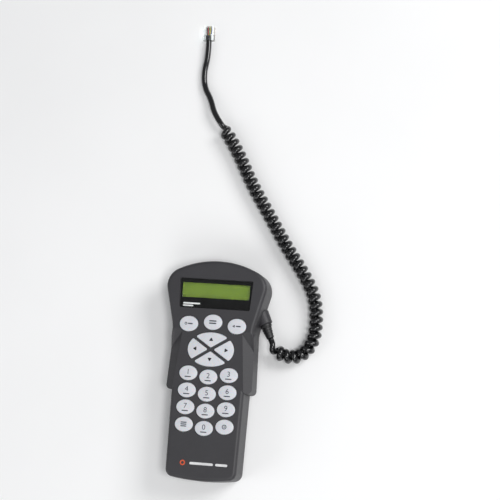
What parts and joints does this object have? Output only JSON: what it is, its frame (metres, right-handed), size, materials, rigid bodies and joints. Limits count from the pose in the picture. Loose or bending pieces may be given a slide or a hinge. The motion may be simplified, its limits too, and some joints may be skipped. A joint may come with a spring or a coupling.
{
  "type": "telescope hand controller",
  "caption": "Handheld keypad controller with a wide display head, waisted side wings, oval keys, a direction cross and a coiled cord with a modular plug.",
  "frame": {"origin": "middle of the flat back, half way along the case, on the surface that it lies on", "axes": "+Z out of the keypad face, +Y along the case towards the display head, +X to the user's right"},
  "size_m": [0.1342, 0.4023, 0.0347],
  "materials": {
    "case": "fine-textured dark charcoal ABS",
    "key_cap": "satin pale silicone rubber",
    "window": "polished clear acrylic, printed black round the display",
    "bezel": "black pressed steel",
    "lcd": "yellow-green liquid crystal glass",
    "light_guide": "milky light guide",
    "conductive_rubber": "striped elastomer",
    "circuit_board": "solder-masked glass epoxy",
    "ribbon": "flat ribbon cable",
    "chip": "moulded epoxy",
    "crystal_can": "drawn metal can",
    "capacitor": "sleeved aluminium can",
    "key_light": "red light-emitting diode",
    "connector": "natural nylon",
    "jack": "black nylon",
    "contacts": "gold-plated",
    "mat": "grey silicone",
    "cord": "glossy black jacket",
    "plug": "clear polycarbonate",
    "label": "blank silver polyester label",
    "wires": "bundle of thin insulated wires",
    "screws": "zinc-plated"
  },
  "bodies": {
    "housing": {"front_shell": "case", "rear_shell": "case", "rear_label": "label", "case_screws": "screws", "display_window": "window", "lcd_bezel": "bezel", "lcd_glass": "lcd", "lcd_backlight": "light_guide", "lcd_contact_strips": "conductive_rubber", "lcd_board": "circuit_board", "lcd_screws": "screws", "lcd_ribbon": "ribbon", "main_board": "circuit_board", "board_screws": "screws", "microcontroller": "chip", "memory_chip": "chip", "regulator": "chip", "crystal": "crystal_can", "capacitors": "capacitor", "key_lights": "key_light", "cord_connector": "connector", "data_jack": "jack", "jack_contacts": "contacts", "keypad_mat": "mat", "strain_relief": "cord", "cord_lead_near": "cord", "cord_coil": "cord", "cord_lead_far": "cord", "plug_body": "plug", "plug_contacts": "contacts", "inner_wires": "wires"},
    "key_top_left": {"key_top_left": "key_cap"},
    "key_top_middle": {"key_top_middle": "key_cap"},
    "key_top_right": {"key_top_right": "key_cap"},
    "key_1": {"key_1": "key_cap"},
    "key_2": {"key_2": "key_cap"},
    "key_3": {"key_3": "key_cap"},
    "key_4": {"key_4": "key_cap"},
    "key_5": {"key_5": "key_cap"},
    "key_6": {"key_6": "key_cap"},
    "key_7": {"key_7": "key_cap"},
    "key_8": {"key_8": "key_cap"},
    "key_9": {"key_9": "key_cap"},
    "key_foot_left": {"key_foot_left": "key_cap"},
    "key_0": {"key_0": "key_cap"},
    "key_foot_right": {"key_foot_right": "key_cap"},
    "key_right": {"key_right": "key_cap"},
    "key_up": {"key_up": "key_cap"},
    "key_left": {"key_left": "key_cap"},
    "key_down": {"key_down": "key_cap"},
    "latch": {"plug_latch": "plug"}
  },
  "joints": [
    {"name": "key_top_left_press", "type": "slide", "parent": "housing", "child": "key_top_left", "axis": [0, 0, -1], "range_m": [0, 0.0012], "stiffness_N_per_m": 400},
    {"name": "key_top_middle_press", "type": "slide", "parent": "housing", "child": "key_top_middle", "axis": [0, 0, -1], "range_m": [0, 0.0012], "stiffness_N_per_m": 400},
    {"name": "key_top_right_press", "type": "slide", "parent": "housing", "child": "key_top_right", "axis": [0, 0, -1], "range_m": [0, 0.0012], "stiffness_N_per_m": 400},
    {"name": "key_1_press", "type": "slide", "parent": "housing", "child": "key_1", "axis": [0, 0, -1], "range_m": [0, 0.0012], "stiffness_N_per_m": 400},
    {"name": "key_2_press", "type": "slide", "parent": "housing", "child": "key_2", "axis": [0, 0, -1], "range_m": [0, 0.0012], "stiffness_N_per_m": 400},
    {"name": "key_3_press", "type": "slide", "parent": "housing", "child": "key_3", "axis": [0, 0, -1], "range_m": [0, 0.0012], "stiffness_N_per_m": 400},
    {"name": "key_4_press", "type": "slide", "parent": "housing", "child": "key_4", "axis": [0, 0, -1], "range_m": [0, 0.0012], "stiffness_N_per_m": 400},
    {"name": "key_5_press", "type": "slide", "parent": "housing", "child": "key_5", "axis": [0, 0, -1], "range_m": [0, 0.0012], "stiffness_N_per_m": 400},
    {"name": "key_6_press", "type": "slide", "parent": "housing", "child": "key_6", "axis": [0, 0, -1], "range_m": [0, 0.0012], "stiffness_N_per_m": 400},
    {"name": "key_7_press", "type": "slide", "parent": "housing", "child": "key_7", "axis": [0, 0, -1], "range_m": [0, 0.0012], "stiffness_N_per_m": 400},
    {"name": "key_8_press", "type": "slide", "parent": "housing", "child": "key_8", "axis": [0, 0, -1], "range_m": [0, 0.0012], "stiffness_N_per_m": 400},
    {"name": "key_9_press", "type": "slide", "parent": "housing", "child": "key_9", "axis": [0, 0, -1], "range_m": [0, 0.0012], "stiffness_N_per_m": 400},
    {"name": "key_foot_left_press", "type": "slide", "parent": "housing", "child": "key_foot_left", "axis": [0, 0, -1], "range_m": [0, 0.0012], "stiffness_N_per_m": 400},
    {"name": "key_0_press", "type": "slide", "parent": "housing", "child": "key_0", "axis": [0, 0, -1], "range_m": [0, 0.0012], "stiffness_N_per_m": 400},
    {"name": "key_foot_right_press", "type": "slide", "parent": "housing", "child": "key_foot_right", "axis": [0, 0, -1], "range_m": [0, 0.0012], "stiffness_N_per_m": 400},
    {"name": "key_right_press", "type": "slide", "parent": "housing", "child": "key_right", "axis": [0, 0, -1], "range_m": [0, 0.0012], "stiffness_N_per_m": 400},
    {"name": "key_up_press", "type": "slide", "parent": "housing", "child": "key_up", "axis": [0, 0, -1], "range_m": [0, 0.0012], "stiffness_N_per_m": 400},
    {"name": "key_left_press", "type": "slide", "parent": "housing", "child": "key_left", "axis": [0, 0, -1], "range_m": [0, 0.0012], "stiffness_N_per_m": 400},
    {"name": "key_down_press", "type": "slide", "parent": "housing", "child": "key_down", "axis": [0, 0, -1], "range_m": [0, 0.0012], "stiffness_N_per_m": 400},
    {"name": "latch_flex", "type": "hinge", "parent": "housing", "child": "latch", "pos_m": [-0.03367, 0.30638, 0.00682], "axis": [0.9982, 0.0592, 0], "range_deg": [0, 9], "stiffness_Nm_per_rad": 0.05}
  ]
}
